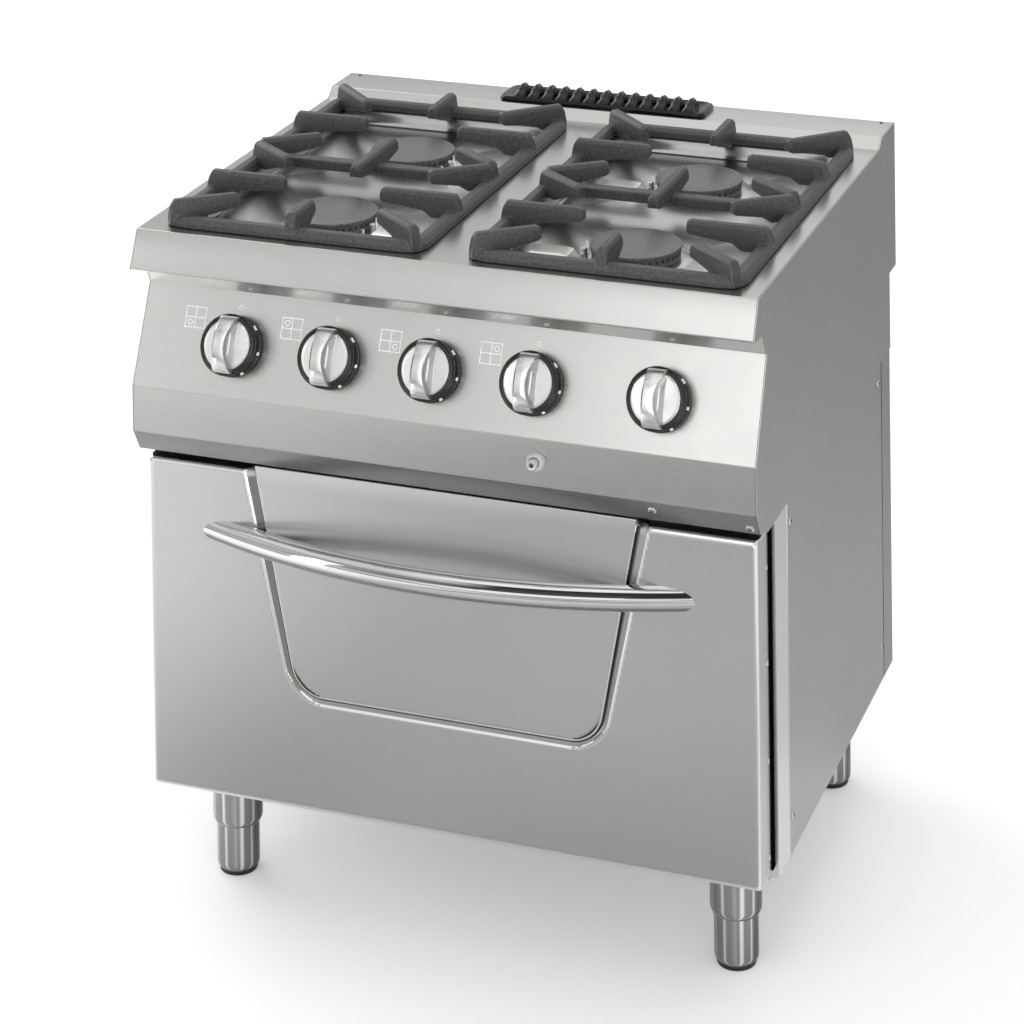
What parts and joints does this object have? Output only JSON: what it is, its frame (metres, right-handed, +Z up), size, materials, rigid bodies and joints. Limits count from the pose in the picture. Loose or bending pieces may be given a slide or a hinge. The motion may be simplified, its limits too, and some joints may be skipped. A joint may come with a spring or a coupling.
{
  "type": "commercial gas range",
  "caption": "Free-standing stainless commercial gas range: open burners under cast pan supports, a gas oven with a drop-down door, control knobs and adjustable feet.",
  "frame": {"origin": "on the floor, under the middle of the whole range's box, door handle included", "axes": "+Z up, -Y towards the cook (door and knobs), +X to the cook's right"},
  "size_m": [0.8, 0.735, 0.8815],
  "materials": {
    "stainless": "brushed along the width, satin",
    "stainless_side": "fine satin",
    "black_casting": "matt enamelled casting, fine grain",
    "burner_cast_iron": "satin enamelled casting",
    "aluminised_steel": "dull aluminised sheet",
    "leg_steel": "turned, satin",
    "brass": "machined",
    "knob_plastic": "black skirt with a satin silver face and grip",
    "spindle_steel": "machined",
    "bright_steel": "polished",
    "black_plastic": "moulded",
    "black_enamel": "glossy vitreous enamel",
    "mineral_wool": "fibrous board",
    "chrome": "mirror plated",
    "gasket_rope": "braided glass rope",
    "hinge_steel": "zinc bright"
  },
  "bodies": {
    "cabinet": {"worktop": "stainless", "control_panel": "stainless", "front_frame": "stainless", "upper_side_left": "stainless_side", "upper_side_right": "stainless_side", "upper_back_panel": "stainless_side", "side_panel_left": "stainless_side", "side_panel_right": "stainless_side", "rear_panel": "stainless_side", "flue_grille": "black_casting", "flue_duct": "aluminised_steel", "base_pan": "aluminised_steel", "oven_burner": "aluminised_steel", "burner_body_front_left": "burner_cast_iron", "leg_sleeve_front_left": "leg_steel", "gas_tap_front_left": "brass", "burner_body_front_right": "burner_cast_iron", "leg_sleeve_front_right": "leg_steel", "gas_tap_front_right": "brass", "burner_body_rear_left": "burner_cast_iron", "leg_sleeve_rear_left": "leg_steel", "gas_tap_rear_left": "brass", "burner_body_rear_right": "burner_cast_iron", "leg_sleeve_rear_right": "leg_steel", "gas_tap_rear_right": "brass", "oven_thermostat": "brass", "gas_manifold": "brass", "igniter_body": "black_plastic", "oven_liner": "black_enamel", "oven_floor_plate": "black_enamel", "oven_insulation": "mineral_wool", "door_gasket": "gasket_rope", "door_hinge_left": "hinge_steel", "door_hinge_right": "hinge_steel"},
    "door": {"door_panel": "stainless", "door_inner_panel": "stainless", "door_insulation": "mineral_wool", "door_handle": "chrome"},
    "spindle_front_left": {"spindle_front_left": "spindle_steel"},
    "knob_front_left": {"knob_front_left": "knob_plastic"},
    "spindle_rear_left": {"spindle_rear_left": "spindle_steel"},
    "knob_rear_left": {"knob_rear_left": "knob_plastic"},
    "spindle_front_right": {"spindle_front_right": "spindle_steel"},
    "knob_front_right": {"knob_front_right": "knob_plastic"},
    "spindle_rear_right": {"spindle_rear_right": "spindle_steel"},
    "knob_rear_right": {"knob_rear_right": "knob_plastic"},
    "spindle_oven": {"spindle_oven": "spindle_steel"},
    "knob_oven": {"knob_oven": "knob_plastic"},
    "igniter_button": {"igniter_button": "bright_steel"},
    "pan_support_left": {"pan_support_left": "black_casting"},
    "pan_support_right": {"pan_support_right": "black_casting"},
    "burner_head_front_left": {"burner_head_front_left": "burner_cast_iron"},
    "burner_head_front_right": {"burner_head_front_right": "burner_cast_iron"},
    "burner_head_rear_left": {"burner_head_rear_left": "burner_cast_iron"},
    "burner_head_rear_right": {"burner_head_rear_right": "burner_cast_iron"},
    "oven_shelf": {"oven_shelf": "chrome"},
    "leg_foot_front_left": {"leg_foot_front_left": "leg_steel"},
    "leg_foot_front_right": {"leg_foot_front_right": "leg_steel"},
    "leg_foot_rear_left": {"leg_foot_rear_left": "leg_steel"},
    "leg_foot_rear_right": {"leg_foot_rear_right": "leg_steel"}
  },
  "joints": [
    {"name": "door_hinge", "type": "hinge", "parent": "cabinet", "child": "door", "pos_m": [0, -0.2745, 0.163], "axis": [1, 0, 0], "range_deg": [0, 88]},
    {"name": "turn_front_left", "type": "hinge", "parent": "cabinet", "child": "spindle_front_left", "pos_m": [-0.27, -0.30466, 0.71462], "axis": [0, -0.9103, 0.414], "range_deg": [0, 180]},
    {"name": "push_front_left", "type": "slide", "parent": "spindle_front_left", "child": "knob_front_left", "axis": [0, 0.9103, -0.414], "range_m": [0, 0.003], "stiffness_N_per_m": 300, "springref_m": -0.003},
    {"name": "turn_rear_left", "type": "hinge", "parent": "cabinet", "child": "spindle_rear_left", "pos_m": [-0.14, -0.30466, 0.71462], "axis": [0, -0.9103, 0.414], "range_deg": [0, 180]},
    {"name": "push_rear_left", "type": "slide", "parent": "spindle_rear_left", "child": "knob_rear_left", "axis": [0, 0.9103, -0.414], "range_m": [0, 0.003], "stiffness_N_per_m": 300, "springref_m": -0.003},
    {"name": "turn_front_right", "type": "hinge", "parent": "cabinet", "child": "spindle_front_right", "pos_m": [-0.009, -0.30466, 0.71462], "axis": [0, -0.9103, 0.414], "range_deg": [0, 180]},
    {"name": "push_front_right", "type": "slide", "parent": "spindle_front_right", "child": "knob_front_right", "axis": [0, 0.9103, -0.414], "range_m": [0, 0.003], "stiffness_N_per_m": 300, "springref_m": -0.003},
    {"name": "turn_rear_right", "type": "hinge", "parent": "cabinet", "child": "spindle_rear_right", "pos_m": [0.121, -0.30466, 0.71462], "axis": [0, -0.9103, 0.414], "range_deg": [0, 180]},
    {"name": "push_rear_right", "type": "slide", "parent": "spindle_rear_right", "child": "knob_rear_right", "axis": [0, 0.9103, -0.414], "range_m": [0, 0.003], "stiffness_N_per_m": 300, "springref_m": -0.003},
    {"name": "turn_oven", "type": "hinge", "parent": "cabinet", "child": "spindle_oven", "pos_m": [0.279, -0.30466, 0.71462], "axis": [0, -0.9103, 0.414], "range_deg": [0, 270]},
    {"name": "push_oven", "type": "slide", "parent": "spindle_oven", "child": "knob_oven", "axis": [0, 0.9103, -0.414], "range_m": [0, 0.003], "stiffness_N_per_m": 300, "springref_m": -0.003},
    {"name": "igniter_push", "type": "slide", "parent": "cabinet", "child": "igniter_button", "axis": [0, 1, 0], "range_m": [0, 0.005], "stiffness_N_per_m": 120, "springref_m": -0.004},
    {"name": "pan_support_lift_left", "type": "slide", "parent": "cabinet", "child": "pan_support_left", "axis": [0, 0, 1], "range_m": [0, 0.12]},
    {"name": "pan_support_lift_right", "type": "slide", "parent": "cabinet", "child": "pan_support_right", "axis": [0, 0, 1], "range_m": [0, 0.12]},
    {"name": "burner_head_lift_front_left", "type": "slide", "parent": "cabinet", "child": "burner_head_front_left", "axis": [0, 0, 1], "range_m": [0, 0.06]},
    {"name": "burner_head_lift_front_right", "type": "slide", "parent": "cabinet", "child": "burner_head_front_right", "axis": [0, 0, 1], "range_m": [0, 0.06]},
    {"name": "burner_head_lift_rear_left", "type": "slide", "parent": "cabinet", "child": "burner_head_rear_left", "axis": [0, 0, 1], "range_m": [0, 0.06]},
    {"name": "burner_head_lift_rear_right", "type": "slide", "parent": "cabinet", "child": "burner_head_rear_right", "axis": [0, 0, 1], "range_m": [0, 0.06]},
    {"name": "oven_shelf_slide", "type": "slide", "parent": "cabinet", "child": "oven_shelf", "axis": [0, -1, 0], "range_m": [0, 0.04]},
    {"name": "leg_height_front_left", "type": "slide", "parent": "cabinet", "child": "leg_foot_front_left", "axis": [0, 0, -1], "range_m": [0, 0.05]},
    {"name": "leg_height_front_right", "type": "slide", "parent": "cabinet", "child": "leg_foot_front_right", "axis": [0, 0, -1], "range_m": [0, 0.05]},
    {"name": "leg_height_rear_left", "type": "slide", "parent": "cabinet", "child": "leg_foot_rear_left", "axis": [0, 0, -1], "range_m": [0, 0.05]},
    {"name": "leg_height_rear_right", "type": "slide", "parent": "cabinet", "child": "leg_foot_rear_right", "axis": [0, 0, -1], "range_m": [0, 0.05]}
  ]
}
